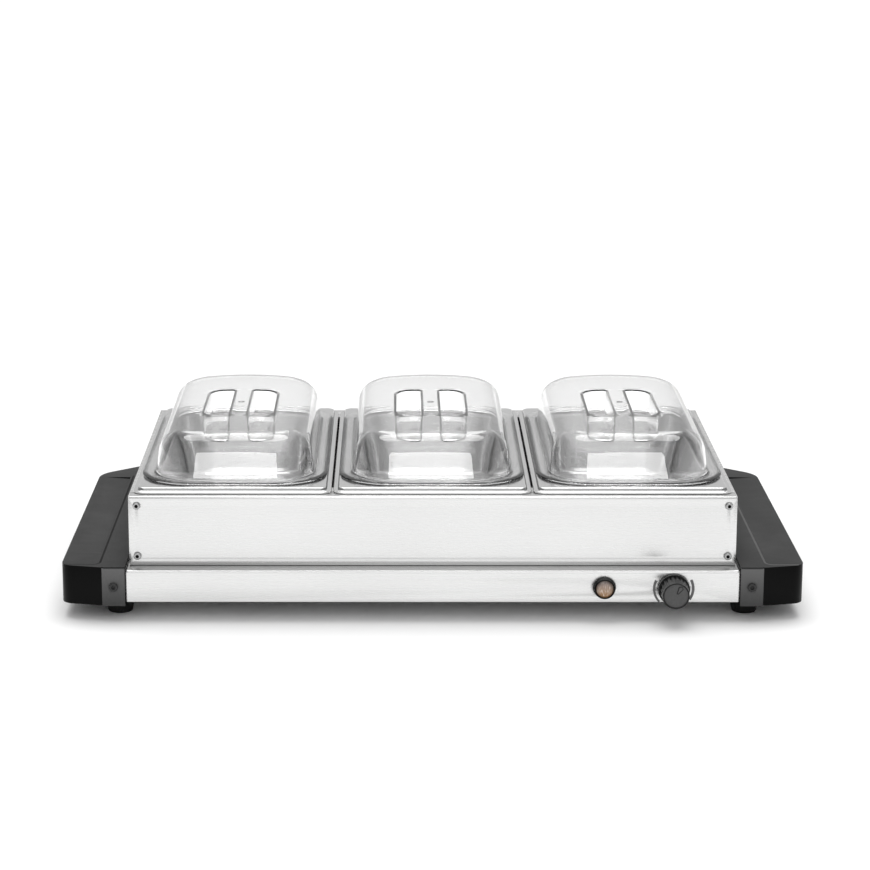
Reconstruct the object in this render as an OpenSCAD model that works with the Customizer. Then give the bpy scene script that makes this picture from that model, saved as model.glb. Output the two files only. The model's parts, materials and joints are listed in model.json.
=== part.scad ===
// Electric food warmer: a low heated base, a lift-off frame, three food pans and three clear lids.
// Millimetres, +X to the right, front at -Y, +Z up, origin on the floor under the middle.

/* [Pans] */
// Outer width of one pan, over its lip
pan_w = 176; // [160:1:190]
// Outer length of one pan, front to back
pan_l = 325; // [300:1:350]
// Height of a pan, from its underside to its flange
pan_depth = 65; // [50:1:90]
// Space between the lips of two pans
pan_gap = 1.6; // [1:0.1:4]
// Sheet thickness of a pan
pan_t = 0.8; // [0.6:0.1:1.2]
// Width of the low outer lip
lip_w = 4; // [3:0.5:5]
// Height of the low outer lip
lip_h = 1.8; // [1:0.1:2.4]
// Height of the flange over the seat of the lip
rim_rise = 4.6; // [3.4:0.1:6]
// Corner radius of the lip in plan
rim_r = 10; // [8:0.5:14]
// Distance from the outer side edge to the well
well_side_inset = 17; // [13:0.5:20]
// Distance from the outer end edge to the well
well_end_inset = 22; // [13:0.5:30]
// Corner radius of the well in plan
well_r = 40; // [34:1:50]
// How far the well's wall leans in towards its floor
well_draft = 9; // [4:0.5:14]
// Radius between wall and floor
well_fillet = 12; // [6:0.5:16]
// Radius where the flange turns down into the well
well_edge_r = 3; // [1.5:0.5:4]

/* [Lids] */
// Distance from a pan's outer side edge to the lid's side edge
lid_side_inset = 4.5; // [4:0.5:8]
// Distance from a pan's outer end edge to the lid's end edge
lid_end_inset = 11; // [8:0.5:14]
// Height of a lid from its seat to its crown
lid_h = 42.6; // [39:0.1:60]
// Wall thickness of a lid
lid_t = 1.8; // [1.4:0.1:3]
// Corner radius of a lid's flange in plan
lid_r = 45; // [42:1:52]
// Width of the flange round the dome
lid_flange_w = 12; // [9:0.5:13]
// Radius of the shoulder between wall and crown
shoulder_r = 21; // [16:0.5:23]
// How far the dome's wall leans in below the shoulder
dome_draft = 2.6; // [0.5:0.1:3]
// Overall width of the two finger pockets
grip_w = 64; // [56:1:72]
// Length of the finger pockets
grip_l = 108; // [80:1:120]
// Depth of the finger pockets
grip_depth = 26.6; // [18:0.1:28]
// Width of the web that the fingers pinch
web_w = 18; // [14:0.5:22]
// Radius of the outer corners of the pockets
grip_r = 14; // [8:1:18]

/* [Frame] */
// Space between the outer pans and the frame's outside
frame_margin = 2.9; // [2:0.1:6]
// Depth of the shelf in front of and behind the pans
frame_ledge = 8; // [5:0.5:12]
// Space between the pans' undersides and the base
under_pan = 2.8; // [2.4:0.1:12]
// Sheet thickness of the frame
frame_t = 1; // [0.8:0.1:1.5]
// Depth of the front and rear top flanges
end_flange_w = 18; // [15:0.5:19]
// Width of the side top flanges
side_flange_w = 14; // [11:0.5:15]
// Outer bend radius of the frame panels
frame_bend_r = 2; // [1.6:0.1:3]
// Top width of a crossbar between two pans
crossbar_w = 14; // [11:0.5:18]
// Depth of a crossbar's legs
crossbar_h = 12; // [8:0.5:20]
// Distance of the frame screws from the sides
frame_screw_in = 7.1; // [6:0.1:9]
// Distance of the frame screws from the top and bottom edges
frame_screw_edge = 8.4; // [7:0.1:12]
// Diameter of a frame screw's head
frame_screw_d = 6.5; // [6:0.1:8]

/* [Base] */
// Steel visible in front of the frame
front_ledge = 16; // [10:1:30]
// Steel behind the frame
rear_ledge = 9; // [5:1:30]
// Steel beside the frame, each side
side_ledge = 3; // [1:0.5:8]
// Height of the base
base_h = 28.8; // [28:0.1:36]
// Sheet thickness of the base
base_t = 0.8; // [0.6:0.1:1]
// Outer bend radius along the top edges
base_bend_r = 2.5; // [2:0.1:2.8]
// Corner radius of the base in plan
base_corner_r = 3; // [2.7:0.1:6]
// Width of the inward flange at the bottom, ends
hem_x = 14; // [12:0.5:16]
// Width of the inward flange at the bottom, front and back
hem_y = 12; // [10:0.5:16]
// Height of the feet
foot_h = 17.4; // [14:0.1:30]
// Diameter of a foot at its top
foot_top_d = 27.5; // [22:0.5:30]
// Diameter of a foot at the floor
foot_bottom_d = 21.5; // [16:0.5:26]
// Distance of the feet from the front and back of the base
foot_setback = 32; // [26:1:60]
// Distance of the feet outward of the base's ends
foot_out = 7.5; // [6:0.5:10]

/* [Handles] */
// Width of a handle, outward of the base
handle_w = 57; // [48:1:80]
// Height of the handle's top over the base's top
handle_over = 2.5; // [1:0.5:5]
// How far the handle reaches below the base
handle_under = 3.8; // [1:0.1:8]
// Radius of the front outer corner in plan
handle_front_r = 12; // [8:1:16]
// Radius of the rear outer corner in plan
handle_rear_r = 32; // [20:1:34]
// Wall thickness of a handle
handle_t = 3; // [2.4:0.1:4]
// Width of the screw pad at each end of a handle
pad_w = 20; // [17:0.5:26]
// How far the pad stands out from the curved end
pad_proud = 1.5; // [0.5:0.1:3]
// Depth of the scoop in the handle's top, at its inner edge
scoop_depth = 1.6; // [0.6:0.1:2]
// Distance from the base to the scoop's inner edge
scoop_in = 25.8; // [22:0.5:32]
// Width of the scoop
scoop_w = 25; // [12:1:26]
// Distance from the handle's ends to the scoop
scoop_end = 46; // [36:1:80]
// Diameter of a handle screw's head
handle_screw_d = 8; // [7:0.1:10]

/* [Controls] */
// Distance of the knob from the base's right end
knob_inset = 59; // [56.5:0.5:80]
// Distance of the pilot lamp from the knob
lamp_spacing = 61; // [53:1:110]
// Height of the knob over the underside of the base
knob_z = 12.3; // [12:0.1:13.4]
// Height of the pilot lamp over the underside of the base
lamp_z = 13.1; // [12:0.1:13.4]
// How far the knob stands out of the front panel
knob_reach = 23; // [18:1:30]
// Diameter of the knob's skirt
knob_skirt_d = 27.8; // [26:0.1:30]
// Diameter of the knob's front face
knob_face_d = 23.4; // [20:0.1:25]
// Thickness of the knob's skirt
knob_skirt_t = 2.6; // [1.5:0.1:4]
// Number of flutes round the knob
knob_flutes = 20; // [12:1:28]
// Diameter of the thermostat's shaft
shaft_d = 6; // [5:0.1:6.4]
// Diameter of the lamp's bezel at the panel
bezel_d = 19.8; // [19:0.1:22]
// Diameter of the bezel at its front
bezel_front_d = 17.6; // [17:0.1:19.8]
// Diameter of the lamp's lens
lens_d = 15.6; // [12:0.1:16]
// Diameter of the lamp's body behind the panel
lamp_d = 13; // [12:0.1:14]
// How far the bezel stands out of the panel
bezel_h = 5.6; // [2:0.1:8]

/* [Cord gland] */
// Distance of the gland from the base's right end
gland_inset = 46.5; // [41.5:0.5:80]
// How far the gland stands out of the rear panel
gland_reach = 9; // [7:0.5:14]
// Diameter of the gland's collar
gland_d = 19; // [18:0.5:20]
// Diameter of the cord hole through the gland
gland_bore_d = 7.5; // [6:0.1:9]

/* [Inside] */
// Thickness of the heat spreader
spreader_t = 1.5; // [1:0.1:2]
// Diameter of the tubular heating element
element_d = 6.5; // [6:0.1:7]
// Distance between the element's runs
element_pitch = 60; // [50:1:62]
// Room between the insulation pad and the clips above it
insulation_room = 2; // [1.6:0.1:8]
// Diameter of an inside lead
lead_d = 2.6; // [2:0.1:3]

/* [Hidden] */
$fn = 64;
rest_gap = 0.2;
fit_gap = 0.05;
part_gap = 0.1;
side_gap = 0.3;
over = 1;
seam = 0.1;
arc_steps = 8;

frame_w = 3 * pan_w + 2 * pan_gap + 2 * frame_margin;
frame_d = pan_l + 2 * frame_ledge;
base_w = frame_w + 2 * side_ledge;
base_d = frame_d + front_ledge + rear_ledge;

base_front = knob_reach - (base_d + knob_reach + gland_reach) / 2;
base_back = base_front + base_d;
base_mid = (base_front + base_back) / 2;
base_end = base_w / 2;
knob_x = base_end - knob_inset;
lamp_x = knob_x - lamp_spacing;
gland_x = base_end - gland_inset;
base_top = foot_h + base_h;
under_top = base_top - base_t;
knob_h = foot_h + knob_z;
lamp_h = foot_h + lamp_z;

frame_front = base_front + front_ledge;
frame_back = frame_front + frame_d;
frame_mid = (frame_front + frame_back) / 2;
frame_side = frame_w / 2;
frame_floor = base_top + rest_gap;
frame_h = pan_depth + under_pan - rim_rise - 2 * rest_gap;
frame_top = frame_floor + frame_h;

pan_pitch = pan_w + pan_gap;
pan_seat = frame_top + rest_gap;
pan_top = pan_seat + rim_rise;
pan_floor = pan_top - pan_depth;
lid_seat = pan_top + rest_gap;
lid_top = lid_seat + lid_h;

// Round values for screws: the shank's radius, the clearance hole and the head's height
screw_r = 2;
screw_hole_r = screw_r + part_gap;
head_h = 2;
socket_share = 0.56;
socket_depth = 1.2;
nut_h = 3.2;
nut_r = 4;

// Points along an arc from angle a0 to a1 about centre c
function arc(c, r, a0, a1) =
  [for (i = [0:arc_steps]) let (a = a0 + (a1 - a0) * i / arc_steps) c + r * [cos(a), sin(a)]];

// A rounded rectangle of half sizes hx and hy
module plate_outline(hx, hy, r) {
  square([2 * (hx - r), 2 * hy], center = true);
  square([2 * hx, 2 * (hy - r)], center = true);
  for (sx = [-1, 1], sy = [-1, 1])
    translate([sx * (hx - r), sy * (hy - r)])
      circle(r);
}

// Carries a profile round a rounded rectangle whose corner centres are at cx and cy.
// The profile's x is its distance from the corner's axis.
module around(cx, cy) {
  for (turn = [0, 180])
    rotate([0, 0, turn]) {
      translate([cx, cy, 0])
        rotate([90, 0, 0])
          linear_extrude(2 * cy)
            children();
      translate([-cx, cy, 0])
        rotate([90, 0, 90])
          linear_extrude(2 * cx)
            children();
      translate([cx, cy, 0])
        rotate_extrude(angle = 90)
          children();
      translate([-cx, cy, 0])
        rotate([0, 0, 90])
          rotate_extrude(angle = 90)
            children();
    }
}

// A cylinder along +Y that starts at the point given
module rod_y(at, r, length) {
  translate(at)
    rotate([-90, 0, 0])
      cylinder(h = length, r = r);
}

// A cylinder along +X that starts at the point given
module rod_x(at, r, length) {
  translate(at)
    rotate([0, 90, 0])
      cylinder(h = length, r = r);
}

// A lead through a list of points. Each length runs a little past its corner, but not past the end,
// and every other one is a little thinner.
module run(points, r) {
  last = len(points) - 2;
  for (i = [0:last]) {
    step = points[i + 1] - points[i];
    flat = norm([step.x, step.y]);
    past = i < last ? r / 2 : 0;
    translate(points[i])
      rotate([0, atan2(flat, step.z), atan2(step.y, step.x)])
        cylinder(h = norm(step) + past, r = r - part_gap * (i % 2));
  }
}

// A screw along +Z: its head lies below z = 0 and its shank above
module screw(head_d, length) {
  difference() {
    translate([0, 0, -head_h])
      cylinder(h = head_h, r1 = head_d / 2 - head_h / 4, r2 = head_d / 2);
    translate([0, 0, -head_h - over])
      cylinder(h = socket_depth + over, r = head_d / 2 * socket_share, $fn = 6);
  }
  cylinder(h = length, r = screw_r);
}

// The base: one folded and welded sheet, open below

lamp_hole_r = lamp_d / 2 + part_gap;
bush_wall = 1;
bush_r = shaft_d / 2 + bush_wall;
thermostat_screw_x = 9;
gland_shoulder = 2;
gland_thread_r = gland_d / 2 - gland_shoulder;
rivet_r = 1.6;
rivet_x = 0.6;
rivet_spots = [-1, 0, 1];
rivet_step = base_d / 3;
bracket_t = 1.5;
bracket_low = foot_h + bracket_t;
bracket_short = 6;
bracket_h = base_h - bracket_short;
rivet_z = foot_h + base_h / 2;
gland_h = foot_h + base_h / 2;

module base_profile() {
  r = base_corner_r;
  polygon(concat(
    [[r - base_t, 0], [r, 0]],
    arc([r - base_bend_r, base_h - base_bend_r], base_bend_r, 0, 90),
    [[r - base_bend_r - seam, base_h], [r - base_bend_r - seam, base_h - base_t]],
    arc([r - base_bend_r, base_h - base_bend_r], base_bend_r - base_t, 90, 0)));
}

module base_shell() {
  cx = base_end - base_corner_r;
  cy = base_d / 2 - base_corner_r;
  plate_r = base_corner_r - base_bend_r;
  hem_seam = base_t - seam;
  color("gainsboro")
  difference() {
    translate([0, base_mid, foot_h]) {
      around(cx, cy)
        base_profile();
      translate([0, 0, base_h - base_t])
        linear_extrude(base_t)
          plate_outline(cx + plate_r, cy + plate_r, plate_r);
      linear_extrude(base_t)
        difference() {
          plate_outline(base_end - hem_seam, base_d / 2 - hem_seam, base_corner_r - hem_seam);
          square([base_w - 2 * hem_x, base_d - 2 * hem_y], center = true);
        }
    }
    rod_y([lamp_x, base_front - over, lamp_h], lamp_hole_r, base_t + 2 * over);
    rod_y([knob_x, base_front - over, knob_h], bush_r + part_gap, base_t + 2 * over);
    for (s = [-1, 1])
      rod_y([knob_x + s * thermostat_screw_x, base_front - over, knob_h], thermostat_screw_r + part_gap,
        base_t + 2 * over);
    rod_y([gland_x, base_back - base_t - over, gland_h], gland_thread_r + part_gap, base_t + 2 * over);
    for (s = [-1, 1], k = rivet_spots)
      rod_x([s * base_end - base_t - over, base_mid + k * rivet_step, rivet_z], rivet_r + fit_gap,
        2 * (base_t + over));
    for (p = cover_screw_spots)
      translate([p.x, p.y, foot_h - over])
        cylinder(h = base_t + 2 * over, r = cover_screw_r + part_gap);
  }
}

// The bottom cover closes the base from below

cover_overlap = 5.5;
cover_t = 0.8;
cover_hx = base_end - hem_x + cover_overlap;
cover_hy = base_d / 2 - hem_y + cover_overlap;
cover_r = 4;
cover_screw_r = 1.5;
cover_screw_in = 2.8;
cover_screw_share = 0.5;
cover_head_h = 1.6;
cover_head_r = 2.6;
cover_screw_l = 5;
cover_screw_x = cover_hx * cover_screw_share;
cover_screw_y = cover_hy - cover_screw_in;
cover_screw_spots = [for (sx = [-1, 0, 1], sy = [-1, 1]) [sx * cover_screw_x, base_mid + sy * cover_screw_y]];
vent_w = 4;
vent_l = 40;
vent_pitch = 12;
vent_count = 6;

module bottom_cover() {
  color("silver")
  translate([0, base_mid, foot_h - cover_t])
    linear_extrude(cover_t)
      difference() {
        plate_outline(cover_hx, cover_hy, cover_r);
        for (sx = [-1, 1], i = [0:vent_count - 1])
          translate([sx * cover_hx / 2, (i - (vent_count - 1) / 2) * vent_pitch])
            plate_outline(vent_l / 2, vent_w / 2, vent_w / 2 - part_gap);
        for (p = cover_screw_spots)
          translate([p.x, p.y - base_mid])
            circle(cover_screw_r + part_gap);
      }
}

module cover_screws() {
  color("dimgray")
  for (p = cover_screw_spots)
    translate([p.x, p.y, foot_h - cover_t - cover_head_h]) {
      difference() {
        cylinder(h = cover_head_h, r1 = cover_head_r - cover_head_h / 2, r2 = cover_head_r);
        translate([0, 0, -over])
          cylinder(h = over + cover_head_h / 2, r = cover_head_r * socket_share / 2, $fn = 6);
      }
      cylinder(h = cover_head_h + cover_screw_l, r = cover_screw_r);
    }
}

// The end brackets carry the feet and the handles

foot_x = base_end + foot_out;
foot_y = [base_front + foot_setback, base_back - foot_setback];
bracket_in = 12;
foot_land = 8;
flange_past = 2;
flange_l = foot_top_d + foot_land;
flange_out = foot_out + foot_top_d / 2 + flange_past;
tab_gap = 0.2;
pad_stand = 0.5;
pad_front = base_front - pad_stand;
tab_y = handle_t + tab_gap;
pad_screw_x = base_end + pad_w / 2;
handle_bottom = foot_h - handle_under;
handle_top = base_top + handle_over;
pad_z = (handle_bottom + handle_top) / 2;

module end_bracket(side) {
  tab_out = pad_w;
  color("lightgray")
  difference() {
    union() {
      translate([side > 0 ? base_end : -base_end - bracket_t, base_front + tab_y, foot_h])
        cube([bracket_t, base_d - 2 * tab_y, bracket_h]);
      for (y = foot_y)
        translate([side > 0 ? base_end : -base_end - flange_out, y - flange_l / 2, foot_h])
          cube([flange_out, flange_l, bracket_t]);
      for (y = [base_front + tab_y, base_back - tab_y - bracket_t])
        translate([side > 0 ? base_end : -base_end - tab_out, y, foot_h])
          cube([tab_out, bracket_t, bracket_h]);
    }
    for (y = foot_y)
      translate([side * foot_x, y, foot_h - over])
        cylinder(h = bracket_t + 2 * over, r = screw_hole_r);
    rod_y([side * pad_screw_x, base_front - over, pad_z], screw_hole_r, base_d + 2 * over);
    for (k = rivet_spots)
      rod_x([side * (base_end + bracket_t / 2) - bracket_t / 2 - over, base_mid + k * rivet_step, rivet_z],
        rivet_r + fit_gap, bracket_t + 2 * over);
  }
}

module bracket_rivets() {
  color("silver")
  for (side = [-1, 1], k = rivet_spots)
    translate([side * base_end, base_mid + k * rivet_step, rivet_z])
      rotate([0, side * 90, 0]) {
        translate([0, 0, -base_t - rivet_x])
          cylinder(h = base_t + bracket_t + 2 * rivet_x, r = rivet_r);
        translate([0, 0, bracket_t])
          cylinder(h = rivet_x, r1 = 2 * rivet_r, r2 = rivet_r);
        translate([0, 0, -base_t - rivet_x])
          cylinder(h = rivet_x, r1 = rivet_r, r2 = 2 * rivet_r);
      }
}

// The moulded handles, one at each end

handle_front = pad_front + pad_proud;
handle_back = base_back + pad_stand - pad_proud;
pad_low = handle_bottom;
pad_step = 1;

// Distances of the corners' centres from the handle's ends
front_corner_share = 1.5;
rear_corner_share = 1.45;
front_corner_in = front_corner_share * handle_front_r;
rear_corner_in = rear_corner_share * handle_rear_r;

// Plan of a handle on the right, with its inner edge at x = 0, drawn in by shrink
module handle_plan(shrink) {
  f = handle_front + shrink;
  b = handle_back - shrink;
  polygon(concat(
    [[0, f], [pad_w, f]],
    arc([handle_w - handle_front_r, handle_front + front_corner_in], handle_front_r - shrink, -80, 0),
    arc([handle_w - handle_rear_r, handle_back - rear_corner_in], handle_rear_r - shrink, 0, 50),
    [[pad_w, b], [0, b]]));
}

module handle_solid() {
  difference() {
    union() {
      translate([0, 0, handle_bottom])
        linear_extrude(handle_top - handle_bottom)
          handle_plan(0);
      translate([0, pad_front, pad_low])
        cube([pad_w, base_back + base_front - 2 * pad_front, handle_top - pad_low - pad_step]);
    }
    translate([-over, base_front + handle_t, handle_bottom - over])
      cube([over + pad_w, base_d - 2 * handle_t, handle_top - handle_t - handle_bottom + over]);
    translate([0, 0, handle_bottom - over])
      linear_extrude(handle_top - handle_t - handle_bottom + over)
        handle_plan(handle_t);
    translate([scoop_in, base_front + scoop_end, handle_top])
      rotate([-90, 0, 0])
        linear_extrude(base_d - 2 * scoop_end)
          polygon([[0, -over], [0, scoop_depth], [scoop_w, 0], [scoop_w, -over]]);
    rod_y([pad_w / 2, pad_front - over, pad_z], screw_hole_r, base_d + 4 * over);
  }
}

module handle(side) {
  color([0.1, 0.1, 0.11])
  if (side > 0)
    translate([base_end, 0, 0])
      handle_solid();
  else
    mirror([1, 0, 0])
      translate([base_end, 0, 0])
        handle_solid();
}

handle_screw_l = 14;

module handle_screws() {
  color("dimgray")
  for (side = [-1, 1]) {
    translate([side * pad_screw_x, pad_front, pad_z])
      rotate([-90, 0, 0])
        screw(handle_screw_d, handle_screw_l);
    translate([side * pad_screw_x, base_back + base_front - pad_front, pad_z])
      rotate([90, 0, 0])
        screw(handle_screw_d, handle_screw_l);
  }
}

// The rubber feet and their screws

foot_recess_r = 5;
foot_recess_h = foot_h / 2;
foot_screw_past = 2;
foot_head_gap = 0.5;
foot_screw_l = foot_h - foot_recess_h + bracket_t + foot_screw_past;

module foot(side, y) {
  color([0.06, 0.06, 0.06])
  translate([side * foot_x, y, 0])
    difference() {
      cylinder(h = foot_h, r1 = foot_bottom_d / 2, r2 = foot_top_d / 2);
      translate([0, 0, -over])
        cylinder(h = foot_recess_h + over, r = foot_recess_r);
      cylinder(h = foot_h + over, r = screw_hole_r);
    }
}

module foot_screws() {
  color("dimgray")
  for (side = [-1, 1], y = foot_y)
    translate([side * foot_x, y, foot_recess_h])
      screw(2 * (foot_recess_r - foot_head_gap), foot_screw_l);
}

// The heater: spreader, tubular element, clips and insulation

spreader_left_in = 30.5;
spreader_right_in = 38.5;
spreader_front_in = 70;
spreader_back_in = 30;
spreader_x = [spreader_left_in - base_end, base_end - spreader_right_in];
spreader_y = [base_front + spreader_front_in, base_back - spreader_back_in];
spreader_low = under_top - spreader_t;
element_r = element_d / 2;
element_z = spreader_low - part_gap - element_r;
element_mid = (spreader_y[0] + spreader_y[1]) / 2;
bend_r = element_pitch / 2;
element_left_in = 40;
element_turn_in = 47;
element_end_in = 7;
element_left = spreader_x[0] + element_left_in;
element_turn = spreader_x[1] - element_turn_in;
element_end = spreader_x[1] - element_end_in;
pin_r = 1.5;
pin_l = 14;
run_y = [for (k = [-1.5, -0.5, 0.5, 1.5]) element_mid + k * element_pitch];

module heat_spreader() {
  color("lightgray")
  translate([spreader_x[0], spreader_y[0], spreader_low])
    cube([spreader_x[1] - spreader_x[0], spreader_y[1] - spreader_y[0], spreader_t]);
}

module bend(at, from) {
  translate(at)
    rotate([0, 0, from])
      rotate_extrude(angle = 180)
        translate([bend_r, 0])
          circle(element_r);
}

module heating_element() {
  color("slategray") {
    for (i = [0, 3])
      rod_x([element_left, run_y[i], element_z], element_r, element_end - element_left);
    for (i = [1, 2])
      rod_x([element_left, run_y[i], element_z], element_r, element_turn - element_left);
    for (i = [0, 2])
      bend([element_left, (run_y[i] + run_y[i + 1]) / 2, element_z], 90);
    bend([element_turn, element_mid, element_z], -90);
    for (i = [0, 3])
      rod_x([element_end, run_y[i], element_z], pin_r, pin_l);
  }
}

clip_count = 3;
clip_end_in = 60;
clip_step = (element_turn - element_left - 2 * clip_end_in) / (clip_count - 1);
clip_l = 8;
clip_t = 0.8;
clip_wing = 8;

module element_clip() {
  inner = element_r + part_gap;
  outer = inner + clip_t;
  translate([0, 0, element_z])
    rotate([0, 90, 0])
      linear_extrude(clip_l)
        difference() {
          union() {
            circle(outer);
            translate([-(spreader_low - element_z), -outer])
              square([spreader_low - element_z, 2 * outer]);
            translate([-(spreader_low - element_z), -outer - clip_wing])
              square([clip_t, 2 * (outer + clip_wing)]);
          }
          circle(inner);
          translate([-2 * outer, -inner])
            square([2 * outer, 2 * inner]);
        }
}

module element_clips() {
  color("silver")
  for (i = [0:clip_count - 1], y = run_y)
    translate([element_left + clip_end_in + i * clip_step, y, 0])
      element_clip();
}

pad_past_far = 5;
pad_past_near = 2;
clip_low = element_z - element_r - part_gap - clip_t;
insulation_t = clip_low - foot_h - insulation_room;
insulation_x = [spreader_x[0] - pad_past_far, spreader_x[1] + pad_past_near];
insulation_y = [spreader_y[0] - pad_past_near, spreader_y[1] + pad_past_far];

module insulation_pad() {
  color("khaki")
  translate([insulation_x[0], insulation_y[0], foot_h])
    cube([insulation_x[1] - insulation_x[0], insulation_y[1] - insulation_y[0], insulation_t]);
}

cutout_in = 20;
cutout_x = element_turn - cutout_in;
cutout_r = 8;
cutout_h = 6.5;
cutout_flange_r = 11;
cutout_flange_h = 1;
tab_w = 6.3;
tab_t = 0.8;
tab_l = 8;

module thermal_cutout() {
  color("darkslategray")
  translate([cutout_x, element_mid, spreader_low]) {
    translate([0, 0, -cutout_flange_h])
      cylinder(h = cutout_flange_h, r = cutout_flange_r);
    translate([0, 0, -cutout_h])
      cylinder(h = cutout_h, r = cutout_r);
    translate([-cutout_r - tab_l, -tab_w / 2, -cutout_h])
      cube([2 * (cutout_r + tab_l), tab_w, tab_t]);
  }
}

// The thermostat behind the front panel, with its bulb and capillary

panel_in = base_front + base_t;
thermostat_w = 36;
thermostat_h = 21;
thermostat_l = 26;
thermostat_head_h = 1;
thermostat_screw_r = 1.5;
thermostat_screw_l = 8;
thermostat_head_r = 2.6;
shaft_in = 14;
shaft_r = shaft_d / 2;
bush_stand = 1;
bush_front = base_front - bush_stand;
thermostat_back = panel_in + thermostat_l;
terminal_x = 11;
terminal_z = 5;

module thermostat_body() {
  color("dimgray")
  difference() {
    union() {
      translate([knob_x - thermostat_w / 2, panel_in, knob_h - thermostat_h / 2])
        cube([thermostat_w, thermostat_l, thermostat_h]);
      rod_y([knob_x, bush_front, knob_h], bush_r, panel_in - bush_front + over);
      for (s = [-1, 1])
        translate([knob_x + s * terminal_x - tab_w / 2, thermostat_back, knob_h - terminal_z])
          cube([tab_w, tab_l, tab_t]);
    }
    rod_y([knob_x, bush_front - over, knob_h], shaft_r + fit_gap, panel_in - bush_front + shaft_in + over);
    for (s = [-1, 1])
      rod_y([knob_x + s * thermostat_screw_x, panel_in - over, knob_h], thermostat_screw_r + fit_gap,
        thermostat_screw_l + over);
  }
}

module thermostat_screws() {
  color("silver")
  for (s = [-1, 1]) {
    rod_y([knob_x + s * thermostat_screw_x, base_front - thermostat_head_h, knob_h], thermostat_head_r,
      thermostat_head_h);
    rod_y([knob_x + s * thermostat_screw_x, base_front, knob_h], thermostat_screw_r,
      thermostat_screw_l - over);
  }
}

bulb_r = 2.5;
bulb_l = 70;
bulb_off = 20;
bulb_y = run_y[0] - bulb_off;
bulb_z = spreader_low - part_gap - bulb_r;
capillary_r = 0.9;
capillary_side = 9;
capillary_rise = 8;
capillary_lead = 34;
capillary_x = knob_x - capillary_side;
capillary_in = knob_h + capillary_rise;
bulb_end = capillary_x - capillary_lead;

module capillary() {
  color("peru") {
    rod_x([bulb_end - bulb_l, bulb_y, bulb_z], bulb_r, bulb_l);
    run([[bulb_end, bulb_y, bulb_z], [capillary_x, bulb_y, bulb_z],
      [capillary_x, (bulb_y + thermostat_back) / 2, capillary_in],
      [capillary_x, thermostat_back, capillary_in]], capillary_r);
  }
}

// The knob and its face

skirt_gap = 1.2;
skirt_back = base_front - thermostat_head_h - skirt_gap;
knob_front = base_front - knob_reach;
cap_t = 1.2;
cap_rim = 1.1;
cap_recess = 0.4;
flute_r = 1;
skirt_step = 1.2;
shaft_cover = 8;
knob_body_r = knob_skirt_d / 2 - skirt_step;
shaft_front = knob_front + shaft_cover;

module thermostat_shaft() {
  color("silver")
  rod_y([knob_x, shaft_front, knob_h], shaft_r, panel_in + shaft_in - shaft_front - part_gap);
}

flute_axis = knob_face_d / 2 + flute_r;

module knob() {
  body_l = skirt_back - knob_skirt_t - knob_front;
  color([0.09, 0.09, 0.09])
  translate([knob_x, 0, knob_h])
    difference() {
      union() {
        rod_y([0, skirt_back - knob_skirt_t, 0], knob_skirt_d / 2, knob_skirt_t);
        translate([0, knob_front, 0])
          rotate([-90, 0, 0])
            intersection() {
              cylinder(h = body_l, r1 = knob_face_d / 2, r2 = knob_body_r);
              linear_extrude(body_l)
                difference() {
                  circle(knob_body_r);
                  for (i = [0:knob_flutes - 1])
                    rotate([0, 0, i * 360 / knob_flutes])
                      translate([flute_axis, 0])
                        circle(flute_r);
                }
            }
      }
      rod_y([0, knob_front - over, 0], knob_face_d / 2 - cap_rim, cap_t + cap_recess + over);
      rod_y([0, shaft_front - part_gap, 0], shaft_r + fit_gap, skirt_back - shaft_front + over);
    }
}

pointer_l = 9;
pointer_r = 1.8;
pointer_h = 0.4;
pointer_turn = 30;
pointer_in = 1;

module knob_cap() {
  cap_r = knob_face_d / 2 - cap_rim - fit_gap;
  pointer_top = cap_r - pointer_r - pointer_in;
  color([0.3, 0.3, 0.31])
  translate([knob_x, 0, knob_h])
    union() {
      rod_y([0, knob_front + cap_recess, 0], cap_r, cap_t);
      rotate([90, pointer_turn, 0])
        translate([0, 0, -knob_front - cap_recess])
          linear_extrude(pointer_h) {
            translate([0, pointer_top])
              circle(pointer_r);
            polygon([[-pointer_r, pointer_top], [pointer_r, pointer_top], [0, cap_r - pointer_l]]);
          }
    }
}

// The pilot lamp

lens_gap = 0.2;
lens_rise = 1.6;
lens_past = 0.3;
lens_r = lens_d / 2;
lens_top = bezel_h + lens_past;
lens_ball_r = (lens_r * lens_r + lens_rise * lens_rise) / (2 * lens_rise);
bezel_foot = 0.8;
lamp_l = 24;
lamp_nut_t = 3;
lamp_nut_in = 0.6;

module lamp_bezel() {
  color([0.06, 0.06, 0.06])
  translate([lamp_x, base_front, lamp_h])
    rotate([90, 0, 0])
      rotate_extrude()
        polygon([[lens_r + lens_gap, 0], [bezel_d / 2, 0], [bezel_d / 2, bezel_foot],
          [bezel_front_d / 2, bezel_h], [lens_r + lens_gap, bezel_h]]);
}

module lamp_lens() {
  color("orange")
  translate([lamp_x, base_front, lamp_h])
    rotate([90, 0, 0])
      intersection() {
        cylinder(h = lens_top + over, r = lens_r);
        translate([0, 0, lens_top - lens_ball_r])
          sphere(lens_ball_r);
      }
}

module lamp_body() {
  color("black") {
    rod_y([lamp_x, base_front, lamp_h], lamp_d / 2, lamp_l);
    for (s = [-1, 1])
      translate([lamp_x - tab_w / 4, base_front + lamp_l, lamp_h + s * lamp_d / 4 - tab_t / 2])
        cube([tab_w / 2, tab_l, tab_t]);
  }
}

module lamp_nut() {
  color("black")
  difference() {
    rod_y([lamp_x, panel_in, lamp_h], bezel_d / 2 - lamp_nut_in, lamp_nut_t);
    rod_y([lamp_x, panel_in - over, lamp_h], lamp_d / 2 + fit_gap, lamp_nut_t + 2 * over);
  }
}

// The cord gland, the terminals and the leads

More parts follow.
